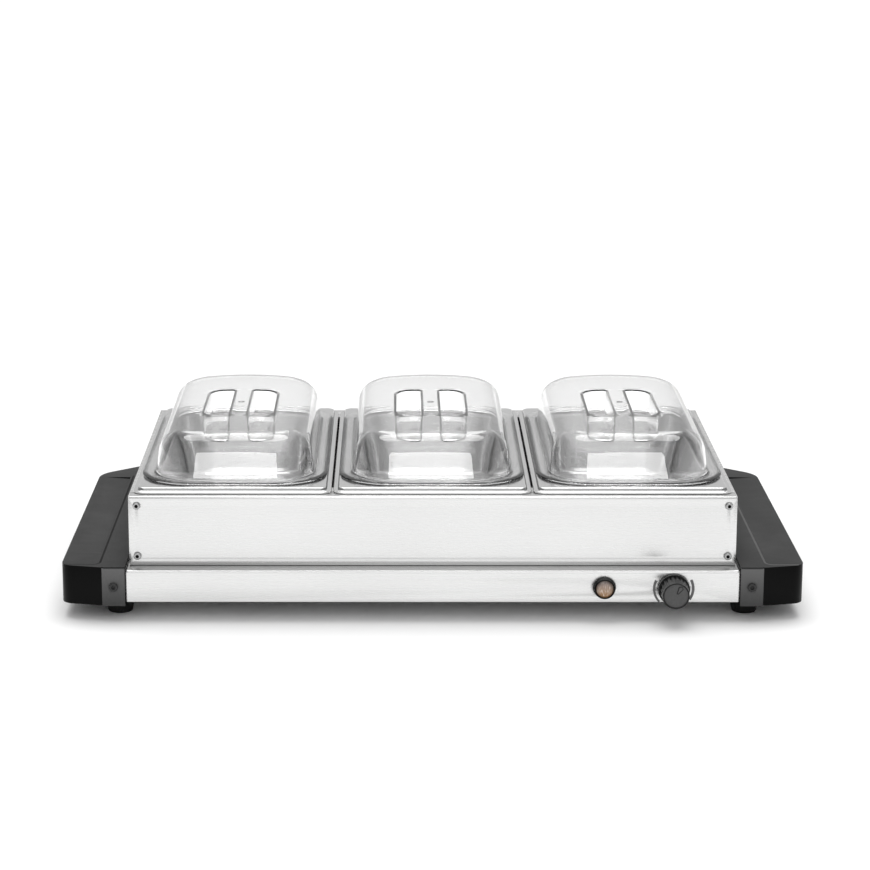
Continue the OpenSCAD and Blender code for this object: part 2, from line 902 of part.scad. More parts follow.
gland_in = 9;
gland_step = 1.5;
gland_taper = 1.5;
gland_nut_past = 1.5;
gland_cap_r = gland_d / 2 - gland_step;
gland_collar_t = 3;

module cord_gland() {
  color([0.08, 0.08, 0.08])
  difference() {
    union() {
      rod_y([gland_x, base_back, gland_h], gland_d / 2, gland_collar_t);
      translate([gland_x, base_back + gland_collar_t, gland_h])
        rotate([-90, 0, 0])
          cylinder(h = gland_reach - gland_collar_t, r1 = gland_cap_r, r2 = gland_cap_r - gland_taper);
      rod_y([gland_x, base_back - base_t - gland_in, gland_h], gland_thread_r, gland_in + base_t);
    }
    rod_y([gland_x, base_back - base_t - gland_in - over, gland_h], gland_bore_d / 2,
      gland_in + base_t + gland_reach + 2 * over);
  }
}

module gland_nut() {
  color([0.08, 0.08, 0.08])
  translate([gland_x, base_back - base_t, gland_h])
    rotate([90, 0, 0])
      difference() {
        cylinder(h = nut_h, r = gland_d / 2 + gland_nut_past, $fn = 6);
        translate([0, 0, -over])
          cylinder(h = nut_h + 2 * over, r = gland_thread_r + fit_gap);
      }
}

block_gap = 2;
block_back_in = 70;
block_x = insulation_x[1] + block_gap;
block_w = 17;
block_y = base_back - block_back_in;
block_l = 36;
block_h = 15;
block_ways = 3;
block_hole_r = 2;

module terminal_block() {
  color("ivory")
  difference() {
    translate([block_x, block_y, foot_h])
      cube([block_w, block_l, block_h]);
    for (i = [0:block_ways - 1])
      translate([block_x + block_w / 2, block_y + (i + 0.5) * block_l / block_ways, foot_h + block_h / 2])
        cylinder(h = block_h, r = block_hole_r);
  }
}

stud_x = base_end - hem_x / 2;
stud_off = 20;
stud_y = base_mid + stud_off;
stud_h = 12;
ring_r = 5;
ring_t = 1;

module earth_stud() {
  color("goldenrod")
  translate([stud_x, stud_y, foot_h + base_t]) {
    cylinder(h = stud_h, r = screw_r);
    cylinder(h = ring_t, r = ring_r);
    translate([0, 0, ring_t])
      cylinder(h = nut_h, r = nut_r, $fn = 6);
  }
}

lead_r = lead_d / 2;
lead_off = 5;
lead_low = 6;
lead_rise = 4;
lead_x = block_x + block_w + lead_off;
lead_z = [for (k = [0:2]) foot_h + lead_low + k * lead_rise];
pin_x = element_end + pin_l;
terminal_y = thermostat_back + tab_l;

// How far behind the thermostat's tabs, and in front of the terminal block, the leads cross over
lamp_cross = 6;
supply_cross = 12;
element_cross = 22;
block_cross = 6;
lamp_join = 8;
tab_end = terminal_y + rest_gap;
tab_h = knob_h - terminal_z + tab_t / 2;
stud_lead_z = foot_h + base_t + ring_t + lead_r;

// Each lead runs from one terminal to the next along the channel beside the insulation
module inside_leads() {
  block_end = block_x + block_w;
  block_mid = block_x + block_w / 2;
  pin_end = pin_x + lead_r;
  color("firebrick") {
    run([[block_end, block_y + block_l / 6, lead_z[0]], [lead_x, block_y + block_l / 6, lead_z[0]],
      [lead_x, terminal_y + supply_cross, lead_z[0]],
      [knob_x + terminal_x, terminal_y + supply_cross, lead_z[0]],
      [knob_x + terminal_x, tab_end, tab_h]], lead_r);
    run([[block_end, block_y + block_l / 2, lead_z[1]], [lead_x, block_y + block_l / 2, lead_z[1]],
      [lead_x, run_y[3], lead_z[2]], [pin_end, run_y[3], element_z]], lead_r);
    run([[stud_x, stud_y + ring_r, stud_lead_z], [stud_x, block_y - block_cross, stud_lead_z],
      [block_mid, block_y - block_cross, lead_z[0]], [block_mid, block_y, lead_z[0]]], lead_r);
    run([[pin_end, run_y[0], element_z], [pin_end, terminal_y + element_cross, lead_z[2]],
      [knob_x - terminal_x, terminal_y + element_cross, lead_z[2]],
      [knob_x - terminal_x, tab_end, tab_h]], lead_r);
    run([[lamp_x, base_front + lamp_l + tab_l, lamp_h - lamp_d / 4],
      [lamp_x, terminal_y + lamp_cross, lead_z[0]],
      [knob_x - terminal_x - lamp_join, terminal_y + lamp_cross, lead_z[0]]], lead_r);
  }
}

// The frame that holds the pans

// Folded section of the front panel: x runs back from its face, y runs up
module panel_profile(top_w, bottom_w) {
  r = frame_bend_r;
  s = r - frame_t;
  polygon(concat(
    [[bottom_w, 0]],
    arc([r, r], r, 270, 180),
    arc([r, frame_h - r], r, 180, 90),
    [[top_w, frame_h], [top_w, frame_h - frame_t]],
    arc([r, frame_h - r], s, 90, 180),
    arc([r, r], s, 180, 270),
    [[bottom_w, frame_t]]));
}

bottom_flange_w = 12;
corner_gap = 0.2;
flange_hx = frame_side - frame_t - corner_gap;
screw_x = frame_side - frame_screw_in;
screw_z = [frame_floor + frame_screw_edge, frame_top - frame_screw_edge];

module end_panel() {
  difference() {
    union() {
      translate([-flange_hx, 0, frame_floor])
        rotate([90, 0, 90])
          linear_extrude(2 * flange_hx)
            panel_profile(end_flange_w, bottom_flange_w);
      translate([-frame_side, 0, frame_floor + corner_gap])
        cube([frame_w, frame_t, frame_h - corner_gap - frame_bend_r]);
    }
    for (s = [-1, 1], z = screw_z)
      rod_y([s * screw_x, -over, z], screw_hole_r, frame_t + 2 * over);
  }
}

module frame_front_panel() {
  color("gainsboro")
  translate([0, frame_front, 0])
    end_panel();
}

module frame_rear_panel() {
  color("gainsboro")
  translate([0, frame_back, 0])
    mirror([0, 1, 0])
      end_panel();
}

side_tab_w = 18;

module side_solid() {
  y0 = frame_front + frame_t;
  y1 = frame_back - frame_t;
  t0 = frame_front + end_flange_w + corner_gap;
  t1 = frame_back - end_flange_w - corner_gap;
  difference() {
    union() {
      translate([frame_side - frame_t, y0, frame_floor])
        cube([frame_t, y1 - y0, frame_h]);
      translate([frame_side - side_flange_w, t0, frame_top - frame_t])
        cube([side_flange_w, t1 - t0, frame_t]);
      translate([frame_side - bottom_flange_w, frame_front + bottom_flange_w + corner_gap, frame_floor])
        cube([bottom_flange_w, frame_d - 2 * (bottom_flange_w + corner_gap), frame_t]);
      for (y = [y0, y1 - frame_t])
        translate([frame_side - side_tab_w, y, frame_floor + frame_bend_r])
          cube([side_tab_w, frame_t, frame_h - 2 * frame_bend_r]);
    }
    for (z = screw_z)
      rod_y([screw_x, frame_front - over, z], screw_hole_r, frame_d + 2 * over);
  }
}

module frame_side_panel(side) {
  color("silver")
  if (side > 0)
    side_solid();
  else
    mirror([1, 0, 0])
      side_solid();
}

tongue_w = 10;
tongue_in = 12;
crossbar_slot_w = 4;
crossbar_slot_in = 14;

module crossbar(side) {
  t0 = frame_front + end_flange_w + corner_gap;
  t1 = frame_back - end_flange_w - corner_gap;
  low = frame_top - frame_t;
  color("silver")
  translate([side * pan_pitch / 2, 0, 0]) {
    difference() {
      translate([-crossbar_w / 2, t0, low])
        cube([crossbar_w, t1 - t0, frame_t]);
      translate([-crossbar_slot_w / 2, t0 + crossbar_slot_in, low - over])
        cube([crossbar_slot_w, t1 - t0 - 2 * crossbar_slot_in, frame_t + 2 * over]);
    }
    for (s = [-1, 1])
      translate([s * (crossbar_w - frame_t) / 2 - frame_t / 2, t0, frame_top - crossbar_h])
        cube([frame_t, t1 - t0, crossbar_h]);
    for (y = [t0 - tongue_in, t1 - crossbar_slot_in])
      translate([-tongue_w / 2, y, low - frame_t])
        cube([tongue_w, tongue_in + crossbar_slot_in, frame_t]);
  }
}

frame_screw_l = 8;

module frame_screws() {
  color("dimgray")
  for (s = [-1, 1], z = screw_z) {
    translate([s * screw_x, frame_front, z])
      rotate([-90, 0, 0])
        screw(frame_screw_d, frame_screw_l);
    translate([s * screw_x, frame_back, z])
      rotate([90, 0, 0])
        screw(frame_screw_d, frame_screw_l);
  }
}

module frame_nuts() {
  color("silver")
  for (s = [-1, 1], z = screw_z, y = [frame_front + 2 * frame_t, frame_back - 2 * frame_t - nut_h])
    difference() {
      translate([s * screw_x, y, z])
        rotate([-90, 0, 0])
          cylinder(h = nut_h, r = nut_r, $fn = 6);
      rod_y([s * screw_x, y - over, z], screw_r + fit_gap, nut_h + 2 * over);
    }
}

// The three pans

pan_spots = [-pan_pitch, 0, pan_pitch];
riser_r = rim_r - lip_w;
riser_lean = 0.8;

// Outer lip and the step up to the flange
module rim_profile() {
  polygon([[riser_r - pan_t, 0], [rim_r, 0], [rim_r, lip_h], [riser_r, lip_h],
    [riser_r - riser_lean, rim_rise], [riser_r - riser_lean - pan_t, rim_rise],
    [riser_r - riser_lean - pan_t, rim_rise - pan_t]]);
}

// Wall of the well with its upper edge and its fillet to the floor; z = 0 is the pan's underside
module well_profile() {
  out = well_r + well_edge_r;
  low = well_r - well_draft;
  polygon(concat(
    [[out + seam, pan_depth]],
    arc([out, pan_depth - well_edge_r], well_edge_r, 90, 180),
    arc([low - well_fillet, well_fillet], well_fillet - pan_t, 0, -90),
    [[low - well_fillet - seam, pan_t], [low - well_fillet - seam, 0]],
    arc([low - well_fillet, well_fillet], well_fillet, -90, 0),
    arc([out, pan_depth - well_edge_r], well_edge_r - pan_t, 180, 90),
    [[out + seam, pan_depth - pan_t]]));
}

module pan(x) {
  hx = pan_w / 2;
  hy = pan_l / 2;
  well_hx = hx - well_side_inset;
  well_hy = hy - well_end_inset;
  step_in = lip_w + riser_lean;
  low = well_draft + well_fillet;
  color("silver")
  translate([x, frame_mid, pan_seat]) {
    around(hx - rim_r, hy - rim_r)
      rim_profile();
    translate([0, 0, rim_rise - pan_t])
      linear_extrude(pan_t)
        difference() {
          plate_outline(hx - step_in, hy - step_in, rim_r - step_in);
          plate_outline(well_hx + well_edge_r, well_hy + well_edge_r, well_r + well_edge_r);
        }
    translate([0, 0, rim_rise - pan_depth]) {
      around(well_hx - well_r, well_hy - well_r)
        well_profile();
      linear_extrude(pan_t)
        plate_outline(well_hx - low, well_hy - low, well_r - low);
    }
  }
}

// The three lids

// Flange, wall and shoulder of a lid; the crown plate closes it
module lid_profile() {
  foot_r = lid_r - lid_flange_w;
  top_r = foot_r - dome_draft;
  centre = [top_r - shoulder_r, lid_h - shoulder_r];
  polygon(concat(
    [[foot_r - lid_t, 0], [lid_r, 0], [lid_r, lid_t], [foot_r, lid_t]],
    arc(centre, shoulder_r, 0, 90),
    [[centre.x - seam, lid_h], [centre.x - seam, lid_h - lid_t]],
    arc(centre, shoulder_r - lid_t, 90, 0)));
}

// Plan of the two finger pockets, grown by the wall where grow is set
module grip_plan(grow) {
  difference() {
    plate_outline(grip_w / 2 + grow, grip_l / 2 + grow, grip_r + grow);
    square([web_w - 2 * grow, grip_l + 2 * grow + over], center = true);
  }
}

module lid(x) {
  hx = pan_w / 2 - lid_side_inset;
  hy = pan_l / 2 - lid_end_inset;
  crown_r = lid_r - lid_flange_w - dome_draft - shoulder_r;
  crown_in = lid_r - crown_r;
  color([0.85, 0.9, 0.92, 0.45])
  translate([x, frame_mid, lid_seat])
    difference() {
      union() {
        around(hx - lid_r, hy - lid_r)
          lid_profile();
        translate([0, 0, lid_h - lid_t])
          linear_extrude(lid_t)
            plate_outline(hx - crown_in, hy - crown_in, crown_r);
        translate([0, 0, lid_h - grip_depth - lid_t])
          linear_extrude(grip_depth + lid_t)
            grip_plan(lid_t);
      }
      translate([0, 0, lid_h - grip_depth])
        linear_extrude(grip_depth + over)
          grip_plan(0);
    }
}

base_shell();
bottom_cover();
cover_screws();
end_bracket(-1);  // end_bracket_left
end_bracket(1);  // end_bracket_right
bracket_rivets();
handle(-1);  // handle_left
handle(1);  // handle_right
handle_screws();
foot(-1, foot_y[0]);  // foot_front_left
foot(1, foot_y[0]);  // foot_front_right
foot(-1, foot_y[1]);  // foot_rear_left
foot(1, foot_y[1]);  // foot_rear_right
foot_screws();
heat_spreader();
heating_element();
element_clips();
insulation_pad();
thermal_cutout();
thermostat_body();
thermostat_screws();
capillary();
thermostat_shaft();
knob();
knob_cap();
lamp_bezel();
lamp_lens();
lamp_body();
lamp_nut();
cord_gland();
gland_nut();
terminal_block();
earth_stud();
inside_leads();
frame_front_panel();
frame_rear_panel();
frame_side_panel(-1);  // frame_side_left
frame_side_panel(1);  // frame_side_right
crossbar(-1);  // crossbar_left
crossbar(1);  // crossbar_right
frame_screws();
frame_nuts();
pan(pan_spots[0]);  // pan_left
pan(pan_spots[1]);  // pan_middle
pan(pan_spots[2]);  // pan_right
lid(pan_spots[0]);  // lid_left
lid(pan_spots[1]);  // lid_middle
lid(pan_spots[2]);  // lid_right
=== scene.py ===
import json
import math
import bmesh
import bpy
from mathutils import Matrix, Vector
from mathutils.geometry import delaunay_2d_cdt


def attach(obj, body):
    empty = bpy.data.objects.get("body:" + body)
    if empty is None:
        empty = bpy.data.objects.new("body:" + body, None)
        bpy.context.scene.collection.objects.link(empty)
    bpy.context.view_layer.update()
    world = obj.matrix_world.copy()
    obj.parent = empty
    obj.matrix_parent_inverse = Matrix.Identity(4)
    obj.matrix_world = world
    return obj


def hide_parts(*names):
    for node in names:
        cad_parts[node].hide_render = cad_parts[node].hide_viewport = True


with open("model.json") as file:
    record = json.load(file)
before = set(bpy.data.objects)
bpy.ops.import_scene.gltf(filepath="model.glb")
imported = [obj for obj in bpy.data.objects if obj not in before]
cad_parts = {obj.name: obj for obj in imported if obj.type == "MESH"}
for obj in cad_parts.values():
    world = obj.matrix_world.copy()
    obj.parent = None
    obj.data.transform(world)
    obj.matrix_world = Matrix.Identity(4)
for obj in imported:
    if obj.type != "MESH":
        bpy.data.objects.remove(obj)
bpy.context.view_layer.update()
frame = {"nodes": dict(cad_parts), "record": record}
nodes = frame["nodes"]
slotOf = {entry["node"]: entry["material_slot"] for entry in frame["record"]["subparts"]}
bodyOf = {node: body for body, members in frame["record"]["behaviour"]["bodies"].items() for node in members}


# Shader building: a wire carries one socket, a paint builds one material

def plug(tree, target, value):
    if isinstance(value, Wire):
        tree.links.new(value.socket, target)
    elif value is not None:
        target.default_value = value


class Wire:
    def __init__(self, tree, socket):
        self.tree = tree
        self.socket = socket

    def math(self, operation, other=None, flip=False):
        node = self.tree.nodes.new("ShaderNodeMath")
        node.operation = operation
        first, second = (other, self) if flip else (self, other)
        plug(self.tree, node.inputs[0], first)
        plug(self.tree, node.inputs[1], second)
        return Wire(self.tree, node.outputs[0])

    def __add__(self, other):
        return self.math("ADD", other)

    def __radd__(self, other):
        return self.math("ADD", other, True)

    def __sub__(self, other):
        return self.math("SUBTRACT", other)

    def __rsub__(self, other):
        return self.math("SUBTRACT", other, True)

    def __mul__(self, other):
        return self.math("MULTIPLY", other)

    def __rmul__(self, other):
        return self.math("MULTIPLY", other, True)

    def above(self, edge):
        return self.math("GREATER_THAN", edge)

    def below(self, edge):
        return self.math("LESS_THAN", edge)

    def size(self):
        return self.math("ABSOLUTE")


class Paint:
    def __init__(self, name):
        self.material = bpy.data.materials.new(name)
        self.material.use_nodes = True
        self.tree = self.material.node_tree
        self.tree.nodes.clear()
        self.output = self.tree.nodes.new("ShaderNodeOutputMaterial")
        self.shader = self.tree.nodes.new("ShaderNodeBsdfPrincipled")
        self.tree.links.new(self.shader.outputs[0], self.output.inputs["Surface"])
        self.place = self.node("ShaderNodeTexCoord", out="Object")

    def node(self, kind, settings=None, sockets=None, out=0):
        made = self.tree.nodes.new(kind)
        for key, value in (settings or {}).items():
            setattr(made, key, value)
        for key, value in (sockets or {}).items():
            plug(self.tree, made.inputs[key], value)
        return Wire(self.tree, made.outputs[out])

    def axes(self):
        split = self.node("ShaderNodeSeparateXYZ", sockets={0: self.place})
        owner = split.socket.node
        return [Wire(self.tree, owner.outputs[i]) for i in range(3)]

    def scaled(self, stretch):
        return self.node("ShaderNodeVectorMath", {"operation": "MULTIPLY"}, {0: self.place, 1: stretch})

    def noise(self, stretch, detail=3.0, roughness=0.5):
        sockets = {"Vector": self.scaled(stretch), "Scale": 1.0, "Detail": detail, "Roughness": roughness}
        return self.node("ShaderNodeTexNoise", {"noise_dimensions": "3D"}, sockets)

    def spread(self, wire, low, high, fromLow=0.3, fromHigh=0.7):
        sockets = {"Value": wire, "From Min": fromLow, "From Max": fromHigh, "To Min": low, "To Max": high}
        return self.node("ShaderNodeMapRange", {"clamp": True}, sockets)

    def blend(self, factor, first, second):
        mix = self.tree.nodes.new("ShaderNodeMix")
        mix.data_type = "RGBA"
        plug(self.tree, mix.inputs[0], factor)
        plug(self.tree, mix.inputs[6], first)
        plug(self.tree, mix.inputs[7], second)
        return Wire(self.tree, mix.outputs[2])

    def bump(self, height, strength, distance):
        sockets = {"Strength": strength, "Distance": distance, "Height": height}
        return self.node("ShaderNodeBump", None, sockets)

    def set(self, **values):
        names = {"color": "Base Color", "rough": "Roughness", "metal": "Metallic", "normal": "Normal",
                 "coat": "Coat Weight", "level": "Specular IOR Level", "ior": "IOR",
                 "clear": "Transmission Weight"}
        for key, value in values.items():
            plug(self.tree, self.shader.inputs[names[key]], value)
        return self


def tone(level, tint=(1.0, 1.0, 1.0)):
    return (level * tint[0], level * tint[1], level * tint[2], 1.0)


# Materials, one for each slot of the record

steelLook = {"grain": (6.0, 900.0, 900.0), "sideGrain": (900.0, 6.0, 900.0), "low": 0.72, "high": 0.78,
             "tint": (1.0, 1.0, 0.995), "rough": 0.26, "metal": 0.92, "ledgeShade": 0.42, "ledgeLow": 0.0457,
             "ledgeHigh": 0.0466, "ledgeFront": -0.1585}


# Brushed sheet, its grain along each face, with painted shade darkening the ledge along the base's front
def steelMaterial():
    s = steelLook
    paint = Paint("stainless_satin")
    facing = paint.node("ShaderNodeNewGeometry", out="Normal")
    side = paint.node("ShaderNodeSeparateXYZ", None, {0: facing}).size().above(0.7)
    streak = paint.noise(s["grain"], 4.0, 0.6) * (1.0 - side) + paint.noise(s["sideGrain"], 4.0, 0.6) * side
    cloud = paint.noise((9.0, 9.0, 9.0), 2.0)
    share = paint.spread(streak * 0.6 + cloud * 0.4, 0.0, 1.0)
    color = paint.blend(share, tone(s["low"], s["tint"]), tone(s["high"], s["tint"]))
    x, y, z = paint.axes()
    # Painted shade: the top ledge of the base's front takes a darker tone
    ledgeShade = z.above(s["ledgeLow"]) * z.below(s["ledgeHigh"]) * y.below(s["ledgeFront"])
    color = paint.blend(ledgeShade, color, tone(s["ledgeShade"], s["tint"]))
    rough = paint.spread(streak, s["rough"] - 0.04, s["rough"] + 0.06)
    return paint.set(color=color, metal=s["metal"], rough=rough,
                     normal=paint.bump(streak, 0.04, 0.0002)).material


def plain(name, dark, light, rough, scale=300.0, metal=0.0, level=0.4, bump=0.15, tint=(1.0, 1.0, 1.0)):
    paint = Paint(name)
    speck = paint.noise((scale, scale, scale), 3.0)
    cloud = paint.noise((25.0, 25.0, 25.0), 2.0)
    share = paint.spread(speck * 0.5 + cloud * 0.5, 0.0, 1.0)
    color = paint.blend(share, tone(dark, tint), tone(light, tint))
    worn = paint.spread(cloud, rough - 0.05, rough + 0.05)
    return paint.set(color=color, metal=metal, level=level, rough=worn,
                     normal=paint.bump(speck, bump, 0.0003)).material


# Clear plastic that casts no dark shadow: a shadow ray passes straight through it
def clearMaterial():
    paint = Paint("clear_plastic")
    haze = paint.noise((40.0, 40.0, 40.0), 2.0)
    straight = paint.node("ShaderNodeBsdfTransparent", None, {"Color": tone(0.97)})
    paint.set(color=tone(1.0), clear=1.0, ior=1.42, rough=paint.spread(haze, 0.0, 0.02))
    glass = Wire(paint.tree, paint.shader.outputs[0])
    shadow = paint.node("ShaderNodeLightPath", out="Is Shadow Ray")
    mixed = paint.node("ShaderNodeMixShader", None, {0: shadow, 1: glass, 2: straight})
    paint.tree.links.new(mixed.socket, paint.output.inputs["Surface"])
    return paint.material


handleLook = {"top": 0.042, "side": 0.001, "padTop": 0.14, "padLow": 0.065, "padInner": 0.2710,
              "padOuter": 0.2919, "padFront": -0.1748, "padRear": 0.1888, "padFoot": 0.016,
              "padHead": 0.048, "creaseShadeInner": 0.2908, "creaseShadeOuter": 0.2922, "creaseShadeY": 0.174}
scoopLook = {"x": 0.2946, "y": -0.1660, "r": 0.008, "wide": 0.0011, "rear": 0.150, "outer": 0.3240,
             "dark": 0.003, "light": 0.10}


# Black plastic with lighter screw pads; top faces painted lighter than the sides as painted light, a
# painted-shade line at each pad's crease, and a line along each scoop's edge painted as shade on the left
# handle and as a highlight on the right
def handleMaterial():
    s, scoop = handleLook, scoopLook
    paint = Paint("black_plastic")
    x, y, z = paint.axes()
    facing = paint.node("ShaderNodeNewGeometry", out="Normal")
    up = paint.node("ShaderNodeSeparateXYZ", None, {0: facing}, 2)
    speck = paint.noise((900.0, 900.0, 900.0), 2.0)
    cloud = paint.noise((30.0, 30.0, 30.0), 2.0)
    top = paint.spread(up, 0.0, 1.0, 0.5, 0.9)
    pad = x.size().below(s["padOuter"]) * (y.below(s["padFront"]) + y.above(s["padRear"]))
    height = paint.spread(z, 0.0, 1.0, s["padFoot"], s["padHead"])
    face = paint.blend(height, tone(s["padLow"]), tone(s["padTop"]))
    side = paint.blend(pad * x.size().above(s["padInner"]), tone(s["side"]), face)
    side = paint.blend(pad * z.above(s["padHead"]), side, tone(s["side"]))
    # Painted shade: a dark line along the crease where each pad meets the top keeps the dark side tone
    creaseShade = x.size().above(s["creaseShadeInner"]) * x.size().below(s["creaseShadeOuter"])
    creaseShade = creaseShade * (y.below(-s["creaseShadeY"]) + y.above(s["creaseShadeY"]))
    # Painted light: faces that point up take the lighter top tone, the rest the darker side tone, except on
    # the crease line
    color = paint.blend(top * (1.0 - creaseShade), side, tone(s["top"]))
    inward = (scoop["r"] - (x.size() - scoop["x"])).math("MAXIMUM", 0.0)
    forward = (scoop["r"] - (y - scoop["y"])).math("MAXIMUM", 0.0)
    outline = (inward * inward + forward * forward).math("SQRT") - scoop["r"]
    within = y.below(scoop["rear"]) * x.size().below(scoop["outer"])
    step = paint.spread(outline, 0.0, 1.0, -scoop["wide"], scoop["wide"]) * within
    # Painted shade and highlight: a line along the scoop's edge on the top, dark on the left handle and light
    # on the right
    edge = outline.size().below(scoop["wide"] * 0.8) * within * top
    color = paint.blend(edge, color, paint.blend(x.above(0.0), tone(scoop["dark"]), tone(scoop["light"])))
    shade = paint.spread(cloud + 0.2 * speck, 0.0, 0.12)
    rough = 0.30 + top * 0.18 + pad * 0.15 + shade
    return paint.set(color=color, rough=rough, level=0.09,
                     normal=paint.bump(step * top + 0.02 * speck, 0.8, 0.0010)).material


lensLook = {"x": 0.1515, "z": 0.0297, "low": 0.0225, "middle": 0.0290, "high": 0.0365, "clear": 0.0048,
            "rim": 0.0078, "bottom": (0.36, 0.17, 0.05, 1.0), "centre": (0.34, 0.22, 0.14, 1.0),
            "top": (0.30, 0.24, 0.22, 1.0), "ribHighlights": (0.78, 0.66, 0.58, 1.0),
            "dark": (0.03, 0.018, 0.01, 1.0)}


# Amber lens: brown below, greyer above, pale ribs as painted highlights, and painted shade darkening it
# towards its rim
def lensMaterial():
    s = lensLook
    paint = Paint("amber_lens")
    x, y, z = paint.axes()
    low = paint.spread(z, 0.0, 1.0, s["low"], s["middle"])
    high = paint.spread(z, 0.0, 1.0, s["middle"], s["high"])
    streak = paint.noise((1500.0, 1.0, 260.0), 2.0, 0.6)
    body = paint.blend(high, paint.blend(low, s["bottom"], s["centre"]), s["top"])
    # Painted highlight: pale streaks along the ribs
    color = paint.blend(paint.spread(streak, 0.0, 0.8, 0.5, 0.70), body, s["ribHighlights"])
    right, up = x - s["x"], z - s["z"]
    # Painted shade: the lens darkens towards its rim
    shade = paint.spread((right * right + up * up).math("SQRT"), 0.0, 0.8, s["clear"], s["rim"])
    color = paint.blend(shade, color, s["dark"])
    return paint.set(color=color, rough=0.22, coat=0.4, level=0.4,
                     normal=paint.bump(streak, 0.3, 0.0006)).material


panLook = {"low": 0.78, "high": 0.86, "rough": 0.18, "metal": 1.0, "step": 0.30, "stepLow": 0.1114,
           "stepHigh": 0.1135, "well": 0.69, "wellTop": 0.1088}


# Drawn sheet: a soft sheen, with painted shade darkening the riser between the flange and the lip, and the
# well
def panMaterial():
    s = panLook
    paint = Paint("stainless_pan")
    x, y, z = paint.axes()
    streak = paint.noise((14.0, 500.0, 14.0), 4.0, 0.6)
    cloud = paint.noise((9.0, 9.0, 9.0), 2.0)
    sheet = paint.blend(paint.spread(streak * 0.5 + cloud * 0.5, 0.0, 1.0), tone(s["low"]), tone(s["high"]))
    rough = paint.spread(cloud, s["rough"] - 0.03, s["rough"] + 0.04)
    # Painted shade: the riser band takes the dark step tone, and the well below wellTop a darker tone
    color = paint.blend(z.above(s["stepLow"]) * z.below(s["stepHigh"]), sheet, tone(s["step"]))
    color = paint.blend(z.below(s["wellTop"]) * paint.spread(streak, 0.85, 1.0), color, tone(s["well"]))
    return paint.set(color=color, metal=s["metal"], rough=rough,
                     normal=paint.bump(streak, 0.03, 0.0002)).material


# The point attribute is 1 in a screw's socket and at its foot, which are painted dark as painted shade
def screwMaterial(name, dark, light, metal):
    paint = Paint(name)
    speck = paint.noise((600.0, 600.0, 600.0), 3.0)
    part = paint.node("ShaderNodeAttribute", {"attribute_name": "part"}, out="Fac")
    metalColor = paint.blend(paint.spread(speck, 0.0, 1.0), tone(dark), tone(light))
    color = paint.blend(part, metalColor, tone(0.006))
    return paint.set(color=color, metal=metal, rough=paint.spread(speck, 0.24, 0.34), level=0.3,
                     normal=paint.bump(speck, 0.1, 0.0001)).material


pointerLook = {"x": 0.2125, "z": 0.0297, "turn": 30.0, "low": 0.0019, "high": 0.0099, "start": 0.0004,
               "widen": 0.26, "close": 1.1, "line": 0.00045, "rim": 0.0130}


# The cap of the knob carries a pointer, a dark outline shaped like a drop
def knobFaceMaterial():
    s = pointerLook
    paint = Paint("knob_face")
    x, y, z = paint.axes()
    speck = paint.noise((900.0, 900.0, 900.0), 3.0)
    turn = math.radians(s["turn"])
    right, up = x - s["x"], z - s["z"]
    along = right * math.sin(turn) + up * math.cos(turn)
    across = (right * math.cos(turn) - up * math.sin(turn)).size()
    width = (s["start"] + (along - s["low"]) * s["widen"]).math("MINIMUM", (s["high"] - along) * s["close"])
    beyond = along.above(s["low"]) * along.below(s["high"])
    edge = (across - width).size().below(s["line"]) * beyond
    color = paint.blend(paint.spread(speck, 0.0, 1.0), tone(0.076), tone(0.098))
    color = paint.blend(edge, color, tone(0.012))
    rim = ((right * right + up * up).math("SQRT")).above(s["rim"])
    color = paint.blend(rim, color, tone(0.004))
    return paint.set(color=color, rough=paint.spread(speck, 0.38, 0.48), level=0.2,
                     normal=paint.bump(speck, 0.15, 0.0003)).material


paints = {
    "stainless_satin": steelMaterial(),
    "stainless_pan": panMaterial(),
    "clear_plastic": clearMaterial(),
    "galvanised_steel": plain("galvanised_steel", 0.42, 0.62, 0.42, 60.0, 0.85),
    "black_plastic": handleMaterial(),
    "knob_plastic": plain("knob_plastic", 0.008, 0.016, 0.32, 700.0, level=0.2),
    "knob_face": knobFaceMaterial(),
    "foot_rubber": plain("foot_rubber", 0.004, 0.010, 0.62, 800.0, level=0.2),
    "screw_steel": screwMaterial("screw_steel", 0.36, 0.50, 1.0),
    "screw_black": screwMaterial("screw_black", 0.02, 0.035, 0.0),
    "spreader_aluminium": plain("spreader_aluminium", 0.6, 0.75, 0.4, 90.0, 1.0),
    "element_sheath": plain("element_sheath", 0.06, 0.12, 0.5, 400.0, 0.6, tint=(0.9, 1.0, 0.95)),
    "mineral_wool": plain("mineral_wool", 0.45, 0.65, 0.9, 500.0, bump=0.6, tint=(1.0, 0.92, 0.65)),
    "switch_plastic": plain("switch_plastic", 0.05, 0.09, 0.5, 500.0),
    "copper_tube": plain("copper_tube", 0.5, 0.8, 0.3, 300.0, 1.0, tint=(1.0, 0.6, 0.4)),
    "amber_lens": lensMaterial(),
    "terminal_plastic": plain("terminal_plastic", 0.6, 0.75, 0.45, 400.0, tint=(1.0, 0.97, 0.85)),
    "brass_stud": plain("brass_stud", 0.5, 0.7, 0.3, 400.0, 1.0, tint=(1.0, 0.8, 0.4)),
    "lead_insulation": plain("lead_insulation", 0.2, 0.32, 0.5, 300.0, tint=(1.0, 0.1, 0.08)),
}

for name, obj in nodes.items():
    obj.data.materials.clear()
    obj.data.materials.append(paints[slotOf[name]])
print("materials done")


# Mesh helpers; places are in metres, mm() turns millimetres into them

panStep = 177.6
panMiddleY = 0.0105
wells = (("left", -panStep), ("middle", 0.0), ("right", panStep))


def mm(*values):
    return [value * 0.001 for value in values]


